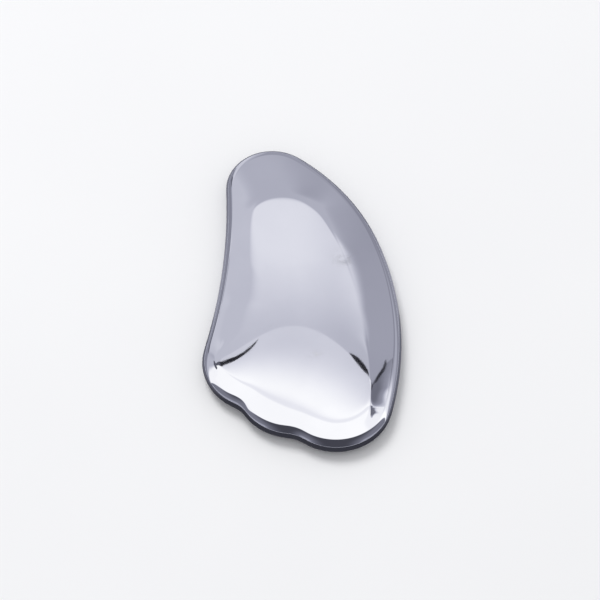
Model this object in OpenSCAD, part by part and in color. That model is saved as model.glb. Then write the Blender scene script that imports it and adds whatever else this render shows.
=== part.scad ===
// Gua sha scraper: one polished stone with a round tip, a convex back, a hollow long side
// and three lobes at the broad end. The tip points along +Y, the back faces +X, and the
// stone rests on the flat of its underside at Z = 0. Both faces have a wide bevel that
// runs from a rounded edge up to a crease, and a gently crowned middle inside the crease.

/* [Overall] */
// Length from the round tip to the toe lobe
length = 107; // [90:1:130]
// Width from the heel lobe to the back
width = 59.5; // [50:0.5:72]
// Thickness at the middle, from the resting flat to the crest of the top face
thickness = 7; // [6:0.1:9]
// Thickness of the rounded edge that runs all round
edge_thickness = 5; // [3.6:0.1:5.6]

/* [Tip and back] */
// Radius of the round tip
tip_r = 13.5; // [9:0.5:17]
// Offset of the tip's centre from the middle of the width
tip_x = 3; // [-2:0.5:6]
// Radius of the shoulder between the tip and the back
shoulder_r = 65; // [54:1:78]
// Radius of the long convex back
back_r = 100; // [85:1:130]

/* [Hollow side] */
// Radius of the hollow in the long side
hollow_r = 200; // [110:5:300]

/* [Lobes] */
// Radius of the toe lobe
toe_r = 16; // [13:0.5:19]
// Offset of the toe lobe's centre from the middle of the width
toe_x = 4.5; // [2:0.5:7]
// Radius of the middle lobe
middle_r = 16.5; // [13.5:0.5:20]
// Offset of the middle lobe's centre from the middle of the width
middle_x = -6; // [-9:0.5:-3]
// Height of the middle lobe's crown above the toe's
middle_rise = 7; // [5:0.5:9]
// Radius of the heel lobe
heel_r = 17; // [14:0.5:20]
// Height of the heel lobe's centre above the toe's crown
heel_rise = 34; // [30:0.5:40]
// Radius of the notch between the heel and middle lobes
heel_notch_r = 4; // [2:0.5:8]
// Radius of the notch between the middle and toe lobes
toe_notch_r = 8; // [5:0.5:14]

/* [Faces] */
// Width of the bevel at the tip
tip_bevel = 19; // [15:0.5:23]
// Width of the bevel at the toe
toe_bevel = 6; // [5:0.5:8]
// Width of the bevel at the heel
heel_bevel = 4; // [3.5:0.5:6]
// Radius of the crease round the tip end of the face
crease_tip_r = 12; // [10:0.5:14]
// Radius of the crease at the toe
crease_toe_r = 9; // [7:0.5:10.5]
// Radius of the crease at the heel
crease_heel_r = 5; // [4:0.5:7]
// Radius of the crease along the back
crease_back_r = 130; // [100:5:180]
// Radius of the crease along the hollow side
crease_hollow_r = 300; // [200:10:400]
// Radius of the crease above the lobes
crease_lobes_r = 85; // [70:5:120]
// Rise of each face's gentle crown above its crease
crown = 0.5; // [0.4:0.1:0.7]
// Depth lapped off the underside's crown, which leaves the resting flat
flat_depth = 0.25; // [0.1:0.05:0.35]

/* [Hidden] */

sample = 2.2;       // spacing of the points along the outline
edge_steps = 10;    // strips round the rounded edge
crown_steps = 4;    // rings across each crowned face
slack = 5;          // how far the lapping cut runs past the stone

edge_r = edge_thickness / 2;
mid_z = (thickness - flat_depth) / 2;         // height of the edge's widest line
half_thickness = thickness - mid_z;
crease_height = half_thickness - crown;       // height of the crease above the widest line

tip_c = [tip_x, length / 2 - tip_r];
toe_c = [toe_x, toe_r - length / 2];
middle_c = [middle_x, middle_r - length / 2 + middle_rise];
heel_c = [heel_r - width / 2, heel_rise - length / 2];
// The widest point stands at half the width, on the back. On a short or wide board it comes
// onto the shoulder, unless the toe lobe fits wholly inside the shoulder's circle
wide_back_c = at_width(back_r, toe_c, toe_r, 1);
wide_shoulder_c = at_width(shoulder_r, tip_c, tip_r, -1);
// The shoulder bulges while the tip lies inside the back's circle, and is hollow where a
// long or narrow board's tip stands out of it
shoulder_side = norm(tip_c - wide_back_c) < back_r - tip_r ? 1 : -1;
meeting_c = meet(wide_back_c, back_r - shoulder_side * shoulder_r,
                 tip_c, shoulder_r - shoulder_side * tip_r, -1);
on_back = shoulder_side < 0 || meeting_c[1] > wide_back_c[1]
    || norm(wide_shoulder_c - toe_c) < shoulder_r - toe_r;
shoulder_c = on_back ? meeting_c : wide_shoulder_c;
back_c = on_back ? wide_back_c
    : meet(toe_c, back_r - toe_r, shoulder_c, back_r - shoulder_r, 1);
hollow_c = meet(tip_c, hollow_r + tip_r, heel_c, hollow_r + heel_r, -1);
heel_notch_c = meet(heel_c, heel_notch_r + heel_r, middle_c, heel_notch_r + middle_r, -1);
toe_notch_c = meet(middle_c, toe_notch_r + middle_r, toe_c, toe_notch_r + toe_r, -1);

// The arcs of the outline, anticlockwise from the tip: centre, radius, and 1 for an arc
// that bulges outwards or -1 for a hollow one
outline_arcs = [
    [tip_c, tip_r, 1], [hollow_c, hollow_r, -1],
    [heel_c, heel_r, 1], [heel_notch_c, heel_notch_r, -1],
    [middle_c, middle_r, 1], [toe_notch_c, toe_notch_r, -1],
    [toe_c, toe_r, 1], [back_c, back_r, 1], [shoulder_c, shoulder_r, shoulder_side]
];

// The crease follows the tip, the toe and the heel, each at its bevel's width
crease_tip_c = tip_c + [0, tip_r - tip_bevel - crease_tip_r];
crease_toe_c = toe_c + [0, toe_bevel + crease_toe_r - toe_r];
crease_heel_c = heel_c + [heel_bevel + crease_heel_r - heel_r, 0];
crease_back_c = meet(crease_toe_c, crease_back_r - crease_toe_r,
                     crease_tip_c, crease_back_r - crease_tip_r, 1);
crease_hollow_c = meet(crease_tip_c, crease_hollow_r + crease_tip_r,
                       crease_heel_c, crease_hollow_r + crease_heel_r, -1);
crease_lobes_c = meet(crease_heel_c, crease_lobes_r - crease_heel_r,
                      crease_toe_c, crease_lobes_r - crease_toe_r, 1);
crease_arcs = [
    [crease_tip_c, crease_tip_r, 1], [crease_hollow_c, crease_hollow_r, -1],
    [crease_heel_c, crease_heel_r, 1], [crease_lobes_c, crease_lobes_r, 1],
    [crease_toe_c, crease_toe_r, 1], [crease_back_c, crease_back_r, 1]
];

function unit(v) = v / norm(v);
function heading(from, to) = atan2(to[1] - from[1], to[0] - from[0]);
// The anticlockwise turn from heading a to heading b, from 0 to 360
function turn(a, b) = (b - a) - 360 * floor((b - a) / 360);

// Where two circles cross, on the left (side 1) or right (side -1) of the line from a to b
function meet(a, ra, b, rb, side) =
    let (gap = norm(b - a), along = (gap ^ 2 + ra ^ 2 - rb ^ 2) / (2 * gap),
         off = sqrt(ra ^ 2 - along ^ 2), u = unit(b - a))
    a + along * u + side * off * [-u[1], u[0]];

// Centre of an arc of radius r that reaches half the width and holds the arc of radius held_r
// at held_c, with its own centre above that one (side 1) or below it (side -1)
function at_width(r, held_c, held_r, side) =
    let (x = width / 2 - r)
    [x, held_c[1] + side * sqrt((r - held_r) ^ 2 - (held_c[0] - x) ^ 2)];

// The point where arc a touches arc b
function join(a, b) =
    a[2] != b[2] || a[1] > b[1] ? a[0] + a[1] * unit(b[0] - a[0])
    : b[0] + b[1] * unit(a[0] - b[0]);

// First heading and signed sweep of arc i in a closed chain of arcs
function span(arcs, i) =
    let (n = len(arcs), arc = arcs[i],
         first = heading(arc[0], join(arcs[(i + n - 1) % n], arc)),
         last = heading(arc[0], join(arc, arcs[(i + 1) % n])))
    [first, arc[2] > 0 ? turn(first, last) : -turn(last, first)];

// Points along arc i, each with its outward direction
function along_arc(arcs, i) =
    let (arc = arcs[i], s = span(arcs, i),
         steps = max(4, ceil(abs(s[1]) * PI / 180 * arc[1] / sample)))
    [for (k = [0:steps - 1])
        let (a = s[0] + s[1] * k / steps, d = [cos(a), sin(a)])
        [arc[0] + arc[1] * d, arc[2] * d]];

outline = [for (i = [0:len(outline_arcs) - 1]) each along_arc(outline_arcs, i)];
count = len(outline);

// The crease's point nearest to p
function nearest(p) =
    let (near = [for (i = [0:len(crease_arcs) - 1])
             let (arc = crease_arcs[i], s = span(crease_arcs, i), a = heading(arc[0], p),
                  swept = s[1] > 0 ? turn(s[0], a) : turn(a, s[0]))
             if (swept <= abs(s[1])) arc[0] + arc[1] * unit(p - arc[0])],
         gaps = [for (q = near) norm(q - p)])
    near[search(min(gaps), gaps)[0]];

crease = [for (o = outline) nearest(o[0])];
// The crowns rise towards this point, the middle of the crease's length
face_c = [0, (crease_tip_c[1] + crease_toe_c[1]) / 2];

// Angle round the edge at which the bevel leaves it, so that the two run smoothly together
leave = [for (i = [0:count - 1])
    let (run = norm(outline[i][0] - crease[i]) - edge_r, reach = norm([run, crease_height]))
    180 - atan2(crease_height, run) - acos(edge_r / reach)];

function edge_ring(t) = [for (i = [0:count - 1])
    let (a = leave[i] * t, o = outline[i])
    concat(o[0] - edge_r * (1 - cos(a)) * o[1], mid_z + edge_r * sin(a))];

function face_ring(share, side) = [for (p = crease)
    concat(face_c + share * (p - face_c),
           mid_z + side * (crease_height + crown * (1 - share ^ 2)))];

rings = concat(
    [for (k = [1:crown_steps]) face_ring(k / crown_steps, -1)],
    [for (k = [0:edge_steps]) edge_ring(2 * k / edge_steps - 1)],
    [for (k = [crown_steps:-1:1]) face_ring(k / crown_steps, 1)]
);
last_ring = (len(rings) - 1) * count;         // index of the top face's innermost point
crests = [for (side = [-1, 1]) concat(face_c, mid_z + side * half_thickness)];

module blank() {
    under = len(rings) * count;
    over = under + 1;
    strips = [for (r = [0:len(rings) - 2], i = [0:count - 1])
        let (j = (i + 1) % count, a = r * count + i, b = r * count + j)
        each [[a, a + count, b], [b, a + count, b + count]]];
    underside = [for (i = [0:count - 1]) [under, i, (i + 1) % count]];
    top = [for (i = [0:count - 1]) [over, last_ring + (i + 1) % count, last_ring + i]];
    polyhedron(concat([for (r = rings) each r], crests), concat(strips, underside, top));
}

module scraper() {
    color("lightslategray")
    difference() {
        blank();
        translate([-width / 2 - slack, -length / 2 - slack, -slack])
            cube([width + 2 * slack, length + 2 * slack, slack]);
    }
}

scraper();
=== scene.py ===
# %% [markdown]
# # A mirror-polished gua sha stone
# A gua sha scraper is one hand-sized blank of stone, sawn to an outline, ground to a long soft bevel all round
# and polished until it reflects the room. It has no joint, no screw and no handle, so this whole lesson is one
# surface, one finish and the light it mirrors. A mirror shows every wobble of the surface under it, so the
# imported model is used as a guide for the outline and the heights, and the surface is drawn again smoothly.

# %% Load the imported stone
import math

import bmesh
import bpy
import numpy as np
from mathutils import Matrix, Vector


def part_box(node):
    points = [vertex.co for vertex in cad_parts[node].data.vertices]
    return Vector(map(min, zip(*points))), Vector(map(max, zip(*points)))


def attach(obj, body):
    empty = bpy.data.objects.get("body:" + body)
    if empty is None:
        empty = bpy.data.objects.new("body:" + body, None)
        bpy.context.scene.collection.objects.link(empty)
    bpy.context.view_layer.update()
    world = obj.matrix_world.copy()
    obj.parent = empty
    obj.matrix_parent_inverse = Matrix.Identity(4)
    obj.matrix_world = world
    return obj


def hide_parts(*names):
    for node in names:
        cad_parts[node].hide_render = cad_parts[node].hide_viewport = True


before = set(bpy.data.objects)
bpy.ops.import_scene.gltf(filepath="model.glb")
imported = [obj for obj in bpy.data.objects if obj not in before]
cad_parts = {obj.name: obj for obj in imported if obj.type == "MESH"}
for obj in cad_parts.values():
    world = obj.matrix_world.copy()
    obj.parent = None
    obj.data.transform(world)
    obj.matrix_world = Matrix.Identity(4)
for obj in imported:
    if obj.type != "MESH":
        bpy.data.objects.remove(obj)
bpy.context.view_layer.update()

MM = 0.001
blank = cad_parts["scraper"]
low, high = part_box("scraper")
size = high - low
print("blank in mm:", [round(side / MM, 2) for side in size])

# %% [markdown]
# ## The outline and the crease
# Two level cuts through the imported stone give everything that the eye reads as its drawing. The cut at half
# height is the widest line, where the stone is held. The cut just under the top is the crease, where the bevel
# meets the polished face. `bisect_plane` makes both cuts on a merged copy, and only the cut line is kept.
# The cut lines are made of short straight lengths. Their high harmonics are dropped, which is the same as
# drawing the line again with one long sweep of the hand.

# %% Cut the blank level and keep the line
POINTS = 472
WIDEST = low.z + 3.385 * MM
CREASE = high.z - 0.52 * MM


def level_cut(height):
    """The cut line at one height, as an ordered ring of points, one complex number x + iy each, in metres."""
    bm = bmesh.new()
    bm.from_mesh(blank.data)
    bmesh.ops.remove_doubles(bm, verts=bm.verts[:], dist=0.001 * MM)
    bmesh.ops.bisect_plane(bm, geom=bm.verts[:] + bm.edges[:] + bm.faces[:], plane_co=(0, 0, height),
                           plane_no=(0, 0, 1), clear_inner=True, clear_outer=True)
    bm.verts.ensure_lookup_table()
    start = max(bm.verts, key=lambda v: v.co.y)
    ring, edge, here = [], start.link_edges[0], start
    while not ring or here != start:
        ring.append(complex(here.co.x, here.co.y))
        here = edge.other_vert(here)
        edge = next(e for e in here.link_edges if e != edge)
    bm.free()
    ring = np.array(ring)
    area = 0.5 * np.sum(ring.real * np.roll(ring.imag, -1) - ring.imag * np.roll(ring.real, -1))
    return ring if area > 0 else ring[::-1]


widest_cut, crease_cut = level_cut(WIDEST), level_cut(CREASE)
print("cut lines have", len(widest_cut), "and", len(crease_cut), "corners")


# %% Draw both lines again with long waves
OUTLINE_WAVES, CREASE_WAVES = 45, 25


def even_steps(ring, count):
    """The same closed line with its points at equal steps."""
    closed = np.append(ring, ring[0])
    run = np.append(0, np.cumsum(abs(np.diff(closed))))
    at = np.linspace(0, run[-1], count, endpoint=False)
    return np.interp(at, run, closed.real) + 1j * np.interp(at, run, closed.imag)


def swept(ring, harmonics):
    """The closed line drawn again with only its long waves."""
    waves = np.fft.fft(ring)
    order = abs(np.fft.fftfreq(len(ring)) * len(ring))
    return np.fft.ifft(waves * np.exp(-((order / harmonics) ** 4)))


outline = swept(even_steps(widest_cut, POINTS), OUTLINE_WAVES)
crease_line = even_steps(crease_cut, 8 * POINTS)
nearest = [int(abs(crease_line - p).argmin()) for p in outline]
crease = swept(crease_line[nearest], CREASE_WAVES)
along = np.roll(outline, -1) - np.roll(outline, 1)
print("outline in mm: %.2f x %.2f, bevel %.1f to %.1f wide" % (
    np.ptp(outline.real) / MM, np.ptp(outline.imag) / MM,
    abs(outline - crease).min() / MM, abs(outline - crease).max() / MM))

# %% [markdown]
# ## The pillow of the face
# A polished face is never a plane: the wheel takes a little more near the edges, so the face swells like a soap
# film blown up over its rim. A soap film has the same curvature load everywhere. Its height is a paraboloid
# plus a smooth harmonic part that brings it back to zero on the rim, and a short sum of powers of x + iy,
# fitted on the crease by least squares, is that harmonic part. The formula has no steps in it, so neither
# have the reflections.

# %% Blow the soap film
CROWN = 0.42 * MM
TERMS = 14
middle = complex(0, -8 * MM)
reach = size.y * 0.42


def powers(points):
    """The powers of x + iy that a harmonic height is made of, and the paraboloid, at each point."""
    z = (points - middle) / reach
    terms = [np.ones(len(z))]
    for k in range(1, TERMS + 1):
        terms += [(z ** k).real, (z ** k).imag]
    return np.stack(terms, 1), abs(z) ** 2 / 4


terms, paraboloid = powers(crease)
harmonic = np.linalg.lstsq(terms, paraboloid, rcond=None)[0]


def film(points):
    """Height of the film over its rim, before it is scaled to the crown."""
    terms, paraboloid = powers(points)
    return terms @ harmonic - paraboloid


spread = np.array([middle + share * (p - middle) for p in crease[::8] for share in np.linspace(0, 1, 24)])
film_top = film(spread).max()


def face_height(points):
    """Height of the face over the floor at points x + iy."""
    return high.z - CROWN * (1 - film(points) / film_top)


print("film misses its rim by at most %.4f mm" % (abs(film(crease)).max() / film_top * CROWN / MM))

# %% [markdown]
# ## Edge, bevel and crease
# Seen in section, the stone has a round edge, a straight bevel that leaves the round along its tangent, and the
# face. The bevel and the face are two heights over the same plan, and the stone is the lower of them, rounded
# where they cross. The rounding is wide along the back, where the hand strokes it, and tight at the tip and the
# two lobes, where the wheel left a clear line.

# %% Find where the bevel leaves the round edge
EDGE = 2.5 * MM
mid = low.z + 3.375 * MM
inwards = 1j * along / abs(along)
face = face_height(crease)
rise = face - mid
run = abs(crease - outline) - EDGE
tangent = np.pi - np.arctan2(rise, run) - np.arccos(EDGE / np.hypot(run, rise))
foot = outline + inwards * EDGE * (1 - np.cos(tangent))
foot_z = mid + EDGE * np.sin(tangent)
bevel = abs(crease - foot)
slope = (face - foot_z) / bevel
print("the round edge turns %.0f to %.0f degrees" % tuple(np.degrees([tangent.min(), tangent.max()])))

# %% Set how soft the crease is round the stone
# Each spot is x, y and a softness, all in mm.
softness_at = {
    "tip": (3, 34, 1.8), "left": (-12, 8, 8.0), "neck": (-7, 22, 6.0), "flank": (-20, -8, 6.0),
    "heel": (-26, -20, 1.2), "hollow": (-10, -37, 3.0), "lobe": (10, -50, 3.0), "toe": (15, -38, 0.9),
    "back": (18, -8, 8.0), "shoulder": (14, 22, 3.5)}


def blended(points, spots):
    """One value per point, blended from named spots by how near they are."""
    weights = np.array([1 / (abs(points / MM - complex(x, y)) ** 2 + 9) ** 2 for x, y, _ in spots.values()])
    return np.array([value for *_, value in spots.values()]) @ weights / weights.sum(0)


softness = blended(crease, softness_at) * MM
print("crease softness in mm: %.1f to %.1f" % (softness.min() / MM, softness.max() / MM))

# %% Work out the rings from the widest line to the middle of the face
EDGE_RINGS, BEVEL_RINGS, FACE_RINGS = 12, 44, 70


def lower_of(one, other, blend):
    """The lower of two heights, rounded over a height of blend where they cross."""
    least = np.minimum(one, other)
    return least - blend * np.log(np.exp((least - one) / blend) + np.exp((least - other) / blend))


STEP = 0.05 * MM
step = (crease - foot) / bevel * STEP
face_slope = (face_height(crease + step) - face_height(crease - step)) / (2 * STEP)
blend = np.maximum(softness * (slope - face_slope) / 4.4, 1e-7)


def top_ring(points, past_crease):
    """Places on the bevel and the face: past_crease is the way gone inwards past the crease, in metres."""
    height = lower_of(face + slope * past_crease, face_height(points), blend)
    return np.stack([points.real, points.imag, height], 1)


rings = []
for turn in np.linspace(0, 1, EDGE_RINGS + 1):
    at = outline + inwards * EDGE * (1 - np.cos(tangent * turn))
    rings.append(np.stack([at.real, at.imag, mid + EDGE * np.sin(tangent * turn)], 1))
for share in np.linspace(0, 1, BEVEL_RINGS + 1)[1:]:
    rings.append(top_ring(foot + share * (crease - foot), (share - 1) * bevel))
for share in np.linspace(1, 0.012, FACE_RINGS + 1)[1:]:
    rings.append(top_ring(middle + share * (crease - middle), (1 - share) * abs(crease - middle)))
print(len(rings), "rings of", POINTS, "points, top at %.3f mm" % (max(r[:, 2].max() for r in rings) / MM))

# %% [markdown]
# ## Growing the shell
# A circle of vertices is laid on the widest line and extruded ring by ring: over the round, up the bevel, across
# the crease and in to the middle, where the last ring is merged to a point. The other side is the same surface
# mirrored through the widest line, lapped flat where it stands on the table, as the real one is on a glass plate.

# %% Extrude the top
def grow(rings):
    """A closed cap that is extruded through all the rings and merged to a point inside the last one."""
    bm = bmesh.new()
    circle = bmesh.ops.create_circle(bm, segments=len(rings[0]), radius=size.x / 2)["verts"]
    number = {v: i for i, v in enumerate(circle)}
    for v in circle:
        v.co = rings[0][number[v]]
    edges = bm.edges[:]
    for places in rings[1:]:
        made = bmesh.ops.extrude_edge_only(bm, edges=edges)["geom"]
        fresh = [g for g in made if isinstance(g, bmesh.types.BMVert)]
        number = {v: next(number[old] for e in v.link_edges if (old := e.other_vert(v)) in number) for v in fresh}
        for v in fresh:
            v.co = places[number[v]]
        edges = [g for g in made if isinstance(g, bmesh.types.BMEdge) and all(v in number for v in g.verts)]
    last = list(number)
    centre = sum((v.co for v in last), Vector()) / len(last)
    cap = bmesh.ops.extrude_edge_only(bm, edges=edges)["geom"]
    bmesh.ops.pointmerge(bm, verts=[g for g in cap if isinstance(g, bmesh.types.BMVert)], merge_co=centre)
    return bm


bm = grow(rings)
print("top:", len(bm.faces), "faces")

# %% Mirror it and lap the underside
under = bmesh.ops.duplicate(bm, geom=bm.verts[:] + bm.edges[:] + bm.faces[:])["geom"]
under_verts = [g for g in under if isinstance(g, bmesh.types.BMVert)]
bmesh.ops.scale(bm, vec=(1, 1, -1), verts=under_verts)
bmesh.ops.translate(bm, vec=(0, 0, 2 * mid), verts=under_verts)
bmesh.ops.remove_doubles(bm, verts=bm.verts[:], dist=0.002 * MM)
bmesh.ops.bisect_plane(bm, geom=bm.verts[:] + bm.edges[:] + bm.faces[:], plane_co=(0, 0, low.z),
                       plane_no=(0, 0, -1), clear_outer=True)
flat = bmesh.ops.holes_fill(bm, edges=[e for e in bm.edges if e.is_boundary], sides=0)["faces"]
bmesh.ops.recalc_face_normals(bm, faces=bm.faces[:])
for f in bm.faces:
    f.smooth = True
open_edges = sum(not e.is_manifold for e in bm.edges)
triangles = sum(len(f.verts) - 2 for f in bm.faces)
print("shell: %d triangles, %d open edges, %d lapped face(s)" % (triangles, open_edges, len(flat)))

# %% Make it the stone
stone_mesh = bpy.data.meshes.new("polished_stone")
bm.to_mesh(stone_mesh)
bm.free()
stone = bpy.data.objects.new("polished_stone", stone_mesh)
bpy.context.scene.collection.objects.link(stone)
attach(stone, "root")
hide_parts("scraper")
print(stone.name, "rides on root and replaces the blank")

# %% [markdown]
# ## Writing shader maths as Python
# The finish is made of node networks. Written one node at a time they are hard to read, so a small class wraps a
# socket and lets `a * b + c` add the Math nodes. Any other node comes from its one `node` method.

# %% A socket that takes part in sums
class Shade:
    def __init__(self, tree, socket=None):
        self.tree, self.socket = tree, socket

    def node(self, kind, settings=None, inputs=None, output=0):
        """A node of one kind: its settings first, then the values or links of its sockets."""
        made = self.tree.nodes.new(kind)
        for name, value in (settings or {}).items():
            setattr(made, name, value)
        for name, value in (inputs or {}).items():
            if isinstance(value, Shade):
                self.tree.links.new(value.socket, made.inputs[name])
            else:
                made.inputs[name].default_value = value
        return Shade(self.tree, made.outputs[output])

    def maths(self, operation, *values):
        return self.node("ShaderNodeMath", {"operation": operation}, dict(enumerate(values)))

    def __add__(self, other): return self.maths("ADD", self, other)
    def __radd__(self, other): return self.maths("ADD", other, self)
    def __sub__(self, other): return self.maths("SUBTRACT", self, other)
    def __rsub__(self, other): return self.maths("SUBTRACT", other, self)
    def __mul__(self, other): return self.maths("MULTIPLY", self, other)
    def __rmul__(self, other): return self.maths("MULTIPLY", other, self)
    def __truediv__(self, other): return self.maths("DIVIDE", self, other)


# %% Start and finish a material
def new_material(name):
    """An empty material, and the sheet on which its nodes are written."""
    material = bpy.data.materials.new(name)
    material.use_nodes = True
    tree = material.node_tree
    tree.nodes.clear()
    return material, Shade(tree)


def finish_with(sheet, shader):
    """The shader that the material ends in."""
    out = sheet.tree.nodes.new("ShaderNodeOutputMaterial")
    sheet.tree.links.new(shader.socket, out.inputs["Surface"])


def band(value, start, end):
    """0 below start, 1 above end, smooth between."""
    return value.node("ShaderNodeMapRange", {"interpolation_type": "SMOOTHSTEP"},
                      {"Value": value, "From Min": start, "From Max": end})


# %% [markdown]
# ## The polish
# Polished to this grade the stone is a bluish-grey mirror, so it is shaded as a metal: the colour tints the
# reflection. Small faults keep it a stone. The colour has faint clouds and specks from the grain of the blank.
# Hands and the felt wheel leave smears, dull smudges and hair-fine scratches, a little rougher than the rest. The
# wheel also leaves a slow ripple, which the Bump node adds without changing the mesh.

# %% Colour the stone
DULL = (0.42, 0.43, 0.47, 1)
polish, sheet = new_material("mirror_polished_stone")
place = sheet.node("ShaderNodeTexCoord", output="Object")


def noise(at, scale, detail, roughness=0.5, distortion=0.0):
    return at.node("ShaderNodeTexNoise", {"noise_dimensions": "3D"},
                   {"Vector": at, "Scale": scale, "Detail": detail, "Roughness": roughness,
                    "Distortion": distortion}, output="Fac")


clouds = band(noise(place, 55, 4), 0.35, 0.68)
specks = band(noise(place, 160, 5, 0.65, 0.4), 0.66, 0.78) * band(noise(place, 38, 2), 0.48, 0.60)
tone = sheet.node("ShaderNodeMix", {"data_type": "RGBA"},
                  {"Factor": clouds, 6: (0.59, 0.605, 0.71, 1), 7: (0.615, 0.63, 0.735, 1)}, output=2)
tone = sheet.node("ShaderNodeMix", {"data_type": "RGBA"},
                  {"Factor": specks * 0.35, 6: tone, 7: DULL}, output=2)
print("colour uses", len(sheet.tree.nodes), "nodes")


# %% Dull it in two places
def smudge(x, y, reach):
    """A dull, mottled spot on the face, at x, y in mm."""
    away = place.node("ShaderNodeVectorMath", {"operation": "DISTANCE"},
                      {0: place, 1: (x * MM, y * MM, high.z)}, "Value") / MM
    return (1.0 - band(away, 0, reach)) * band(noise(place, 330, 4, 0.6, 0.6), 0.40, 0.70)


smudges = smudge(17.5, 9, 6.0) + smudge(1.6, -23, 3.5) * 0.7
tone = sheet.node("ShaderNodeMix", {"data_type": "RGBA"},
                  {"Factor": smudges * 0.4, 6: tone, 7: DULL}, output=2)
print("with the smudges it uses", len(sheet.tree.nodes))

# %% Add smears, scratches and the ripple
smears = band(noise(place, 70, 4, 0.6, 0.8), 0.52, 0.72)
hair = sheet.node("ShaderNodeMapping", {"vector_type": "POINT"},
                  {"Vector": place, "Rotation": (0, 0, 0.6), "Scale": (1, 14, 1)})
scratches = band(noise(hair, 110, 2, 0.5, 0.2), 0.70, 0.74)
gloss = 0.015 + smears * 0.014 + scratches * 0.012 + specks * 0.08 + smudges * 0.12
ripple = sheet.node("ShaderNodeBump", None,
                    {"Strength": 0.03, "Distance": 0.02 * MM, "Height": noise(place, 90, 1.5)})
finish_with(sheet, sheet.node("ShaderNodeBsdfPrincipled", None,
                              {"Base Color": tone, "Metallic": 1.0, "Roughness": gloss, "Normal": ripple}))
stone_mesh.materials.append(polish)
print("polish has", len(sheet.tree.nodes), "nodes")

# %% [markdown]
# ## The floor
# A plain pale floor takes the stone's shadow. It is wide, so that its edges stay far from the stone, and matt,
# with the faint unevenness of painted board.

# %% Lay the floor
def flat_piece(name, corners, material):
    """One flat face of the studio, which isn't part of the object."""
    bm = bmesh.new()
    bm.faces.new([bm.verts.new(c) for c in corners])
    mesh = bpy.data.meshes.new(name)
    bm.to_mesh(mesh)
    bm.free()
    mesh.materials.append(material)
    made = bpy.data.objects.new(name, mesh)
    bpy.context.scene.collection.objects.link(made)
    return made


paint, sheet = new_material("matt_pale_board")
place = sheet.node("ShaderNodeTexCoord", output="Object")
pale = sheet.node("ShaderNodeMix", {"data_type": "RGBA"},
                  {"Factor": noise(place, 9, 3), 6: (0.84, 0.84, 0.85, 1), 7: (0.88, 0.88, 0.885, 1)}, output=2)
finish_with(sheet, sheet.node("ShaderNodeBsdfPrincipled", None,
                              {"Base Color": pale, "Roughness": 0.9, "Specular IOR Level": 0.1}))
HALF = 6.0
flat_piece("floor", [(-HALF, -HALF, low.z), (HALF, -HALF, low.z), (HALF, HALF, low.z),
                     (-HALF, HALF, low.z)], paint)
print("floor is", 2 * HALF, "m wide")

# %% [markdown]
# ## The camera
# The stone is seen from a steep angle with a long lens, a little from its own left, so the tip leans away.

# %% Stand the camera
LEAN, STEEP, AWAY = math.radians(-12.5), math.radians(54.4), 1.006
FOCAL = 210.06
look_at = Vector((0.00286, 0.00163, 0))
back = Vector((math.sin(LEAN) * math.cos(STEEP), -math.cos(LEAN) * math.cos(STEEP), math.sin(STEEP)))
lens = bpy.data.cameras.new("camera")
lens.sensor_width, lens.lens = 36, FOCAL
lens.clip_start, lens.clip_end = 0.05, 30
camera = bpy.data.objects.new("camera", lens)
camera.location = look_at + AWAY * back
camera.rotation_euler = back.to_track_quat("Z", "Y").to_euler()
bpy.context.scene.collection.objects.link(camera)
bpy.context.scene.camera = camera
print("camera is %.3f m away, %.1f degrees up" % (AWAY, math.degrees(STEEP)))

# %% [markdown]
# ## The studio in the mirror
# A mirror has no looks of its own: it shows the studio. Mirror-like things are photographed in a light tent, so
# a tent of grey and white paper is hung round the stone, seen only in reflections. A place on it is named by the
# direction in which the stone sees it. `el` is the angle up from the far horizon, over the head and down to the
# camera's side, and `az` the angle to the side, both in degrees.

# %% Name the directions
FAR = Vector((math.sin(-LEAN), math.cos(LEAN), 0))
SIDE = Vector((math.cos(LEAN), math.sin(LEAN), 0))
UP = Vector((0, 0, 1))
HEART = Vector((0, 0, high.z / 2))
TENT = 2.4
DEGREES = 57.2958


def toward(az, el):
    """The direction az, el as a vector."""
    a, e = math.radians(az), math.radians(el)
    return SIDE * math.sin(a) + (FAR * math.cos(e) + UP * math.sin(e)) * math.cos(a)


def az_el(place):
    """The direction of each point of a sheet, as two shader values in degrees."""
    def share(axis, of):
        return of.node("ShaderNodeVectorMath", {"operation": "DOT_PRODUCT"}, {0: of, 1: axis}, "Value")
    away = place.node("ShaderNodeVectorMath", {"operation": "SUBTRACT"}, {0: place, 1: HEART})
    away = place.node("ShaderNodeVectorMath", {"operation": "NORMALIZE"}, {0: away})
    az = away.maths("ARCSINE", share(SIDE, away)) * DEGREES
    return az, away.maths("ARCTAN2", share(UP, away), share(FAR, away)) * DEGREES


print("the camera's own direction is", [round(c, 3) for c in back])


# %% Make paper that gives light
def glowing(name, light):
    """Paper that gives light. light is a level, or a function of az and el. Bright paper is a little warmer."""
    material, sheet = new_material(name)
    if not callable(light):
        finish_with(sheet, sheet.node("ShaderNodeEmission", None, {"Color": (light, light, light * 1.12, 1)}))
        return material
    level = light(*az_el(sheet.node("ShaderNodeTexCoord", output="Object")))
    colour = sheet.node("ShaderNodeCombineColor", None,
                        {0: level, 1: level * (1.0 - 0.012 * level), 2: level * (1.14 - 0.17 * level)})
    finish_with(sheet, sheet.node("ShaderNodeEmission", None, {"Color": colour}))
    return material


def only_in_the_mirror(piece):
    """A piece that lights nothing and shows only in the stone."""
    piece.visible_camera = piece.visible_diffuse = piece.visible_shadow = False
    return piece


# %% Shade the far paper and the lamp
def mixed(one, other, share):
    """One level where share is 0, the other where it is 1."""
    return one + (other - one) * share


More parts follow.
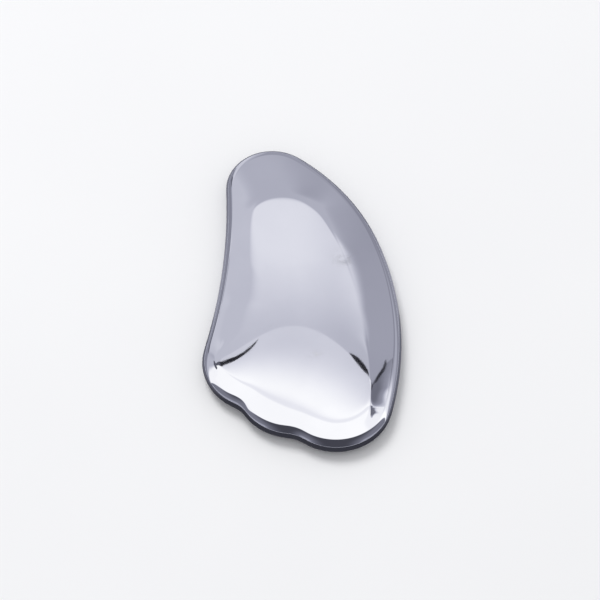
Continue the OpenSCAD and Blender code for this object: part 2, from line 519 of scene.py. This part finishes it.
def far_paper(az, el):
    """Grey paper up to the lamp: darker low down and to the right, light in the middle."""
    low = 0.50 + band(el, 44.6, 46.6) * 0.19
    middle = 1.16 - band(el, 52.2, 55.4) * 0.32 - band(az, 0.0, 4.0) * 0.10
    level = mixed(low, middle, band(el - band(az, 0.0, 4.0) * 0.5, 49.3, 50.2))
    turned = az - band(el, 50, 53) * 0.4 - band(el, 53, 54.2) * 0.7
    level = mixed(level, 0.52 + band(el, 50, 54) * 0.02, band(turned, 5.9, 7.9))
    left = 0.83 - (1.0 - band(el, 47.0, 49.5)) * band(az, -14, -7) * 0.16
    left = left + (1.0 - band(el, 44.0, 48.5)) * band(az, -28, -18) * (1.0 - band(az, -14, -6)) * 0.12
    return mixed(left, level, band(az, -5.6, -3.0))


def lamp_paper(az, el):
    """White paper in front of the lamp, brighter upwards, with the shade of a seam across it."""
    seam = band(el, 59.4, 60.6) * (1.0 - band(el, 61.6, 64.0)) * band(az, -6.0, -4.6)
    return 0.97 + band(el, 55.8, 59.4) * 0.60 - seam * 0.24


# %% Shade the sides and the room
def left_paper(az, el):
    """The left wall: dim low down, bright beside the lamp."""
    return 0.38 + band(el, 39, 50) * 0.38 + band(el, 56, 64) * 0.76


def right_paper(az, el):
    """The right wall, which gets the lamp's light from lower down the further it is aside."""
    aside = band(el, 30, 45) * band(az, 20, 32) * 0.22
    return 0.40 + aside + band(el + band(az, 25, 50) * 4.0, 55, 60) * 0.66 + band(el, 60, 66) * 0.35


def near_room(az, el):
    """The dim room on the camera's side, which the front edge mirrors, lighter to the sides."""
    aside = az.maths("ABSOLUTE", az)
    return 0.09 + band(aside, 12, 50) * 0.20 + band(aside, 36, 48) * band(el, 145, 160) * 0.25


# %% Join the papers
def tent_light(az, el):
    """The whole tent: far paper, lamp, both sides and the room."""
    lamp_edge = el.maths("MINIMUM", 55.1 + az * az * 0.045, 56.15)
    level = mixed(far_paper(az, el), lamp_paper(az, el), band(el - lamp_edge, -0.03, 0.03))
    level = mixed(left_paper(az, el), level, band(az, -29, -26.5))
    level = mixed(level, right_paper(az, el), band(az, 13.2, 15.0))
    return mixed(level, near_room(az, el), band(el + az * 0.14, 80.0, 84.0))


# %% Hang the tent
bm = bmesh.new()
bmesh.ops.create_uvsphere(bm, u_segments=96, v_segments=48, radius=TENT)
bmesh.ops.translate(bm, vec=HEART, verts=bm.verts[:])
tent_mesh = bpy.data.meshes.new("tent")
bm.to_mesh(tent_mesh)
bm.free()
tent_mesh.materials.append(glowing("tent_paper", tent_light))
tent = bpy.data.objects.new("tent", tent_mesh)
bpy.context.scene.collection.objects.link(tent)
only_in_the_mirror(tent)
print("tent of", 2 * TENT, "m has", len(tent_mesh.materials[0].node_tree.nodes), "nodes")

# %% [markdown]
# ## Tape and the painted shade
# Where the paper meets the lamp, strips of dark tape cover the gaps. The stone shows them as the two dark
# crescents and the thin dark creases that give a mirror its drawing. Each strip is cut along a few directions.
# A dark sheet round the stone, seen only in the mirror, is painted shade: it stands in for the stone's shadow
# on the ground, which the edge mirrors as its dark foot.

# %% Cut the tape
def strip(name, corners, light, lift=4.0):
    """A strip of tape with its corners at directions az, el, lift mm in front of the paper."""
    places = [HEART + toward(az, el) * (TENT - lift * MM) for az, el in corners]
    return only_in_the_mirror(flat_piece(name, places, glowing(name, light)))


def wedge_light(az, el):
    """Dark tape with a sheen that grows away from the crease, and a bright rim."""
    turn = 15.2
    past = az.maths("MAXIMUM", az - turn, 0.0)
    short = az.maths("MAXIMUM", turn - az, 0.0)
    gap = el - (57.9 + past * past * 0.28 - short * 0.6)
    fade = band(el, 59.6, 60.1) * (1.0 - band(az, 17.3, 17.65) * 0.75)
    sheen = (band(gap, -0.9, 0.0) * 0.20 + band(gap, -0.1, 0.7) * 0.85) * (1.0 - fade)
    rim = band(az + band(el, 63, 68) * 1.1, 17.78, 17.95) * 1.15
    level = 0.24 + sheen * (1.0 - band(el, 60.5, 61.2)) + rim + band(el, 65.5, 67.8) * 0.60
    return level.maths("MINIMUM", level, 1.4)


# %% Stick the tape on the left
strip("left_crescent", [(-2.78, 55.58), (-3.02, 55.77), (-3.22, 55.95), (-3.43, 56.13), (-3.61, 56.28),
                        (-3.78, 56.37), (-3.98, 56.33), (-5.0, 56.28), (-5.2, 57.9), (-4.3, 57.6), (-3.77, 57.0),
                        (-3.7, 56.9), (-3.63, 56.78), (-3.51, 56.61), (-3.35, 56.41), (-3.15, 56.18),
                        (-2.98, 55.94)], 0.03)
strip("left_corner", [(-5.0, 56.28), (-14, 56.28), (-26, 56.2), (-27, 61), (-16, 60.0), (-7.3, 58.6),
                      (-5.2, 57.9)], 0.16)
strip("left_crease", [(-31.2, 49.4), (-28.6, 53.5), (-25.5, 57.5), (-24.9, 65.2), (-27.6, 67.7), (-30.6, 68.0),
                      (-33.6, 63.0), (-34.4, 55.6), (-32.2, 50.4)], 0.17)
strip("left_edge", [(-28.5, 45.3), (-27.2, 43.0), (-24.6, 41.8), (-27, 36), (-33, 28), (-38, 28), (-36, 36),
                    (-33.5, 42), (-31, 45.3)], 0.2)
print("tape on the left is up")

# %% Stick the tape on the right
strip("right_crescent", [(3.86, 55.73), (4.23, 55.71), (4.51, 55.73), (4.73, 55.78), (4.91, 55.86),
                         (5.1, 55.95), (6.6, 56.02), (6.6, 56.12), (5.1, 56.16), (4.81, 56.17), (4.62, 56.13),
                         (4.39, 56.03), (4.14, 55.91)], 0.03)
strip("right_wedge", [(6.5, 56.15), (11.2, 55.95), (14.2, 55.95), (16.8, 56.6), (18.3, 57.8), (18.3, 63.0),
                      (17.9, 64.5), (17.1, 66.4), (16.6, 67.6), (16.35, 67.6), (16.3, 66.7), (16.35, 64.3),
                      (16.2, 61.5), (15.4, 59.0), (14.2, 57.6), (13.0, 57.0), (12.0, 56.6), (10.5, 56.3)],
      wedge_light)
strip("right_crease", [(12.3, 55.60), (12.86, 55.92), (13.20, 55.99), (13.52, 56.01), (13.87, 56.03),
                       (14.2, 56.0), (14.25, 56.2), (13.97, 56.36), (13.6, 56.36), (13.34, 56.36),
                       (13.01, 56.16), (12.72, 55.98)], 0.05, lift=7.0)
print("tape on the right is up")


# %% Lay the sheet of painted shade
def painted_foot_shade(az, el):
    """Painted shade of the ground at the foot: dark, a little lighter beyond the stone and to its sides."""
    high_up, aside = el.maths("ABSOLUTE", el), az.maths("ABSOLUTE", az)
    return 0.06 + (1.0 - band(high_up, 60, 150)) * 0.24 + band(aside, 30, 60) * 0.15


# A dark sheet seen only in the mirror: painted shade for the stone's shadow on the ground round its foot.
SHADE_SHEET = 0.14
shade_sheet_ring = [Vector((SHADE_SHEET * math.cos(t), SHADE_SHEET * math.sin(t), low.z + 0.1 * MM)) for t in
            np.linspace(0, 2 * math.pi, 96, endpoint=False)]
only_in_the_mirror(flat_piece("painted_shade_sheet", shade_sheet_ring, glowing("painted_shade_mat", painted_foot_shade)))
print("mat is %.2f m across" % (2 * SHADE_SHEET))

# %% [markdown]
# ## Soft light
# The floor and any matt finish are lit by a pale world and one soft lamp from behind, which pulls the shadow
# towards the viewer. Both are set so that a colour renders about as it is written.

# %% Light the studio
scene = bpy.context.scene
scene.view_settings.view_transform = "Standard"
scene.world = bpy.data.worlds.new("pale_room")
scene.world.use_nodes = True
room = scene.world.node_tree.nodes["Background"].inputs
room["Color"].default_value, room["Strength"].default_value = (0.80, 0.805, 0.82, 1), 0.9

lamp_data = bpy.data.lights.new("soft_lamp", "AREA")
lamp_data.shape, lamp_data.size, lamp_data.energy = "DISK", 0.9, 14
lamp = bpy.data.objects.new("soft_lamp", lamp_data)
lamp.location = HEART + toward(-18, 62) * 1.8
lamp.rotation_euler = (lamp.location - HEART).to_track_quat("Z", "Y").to_euler()
lamp.visible_glossy = lamp.visible_camera = False
scene.collection.objects.link(lamp)
print("lamp of", lamp_data.energy, "W at", [round(c, 2) for c in lamp.location])
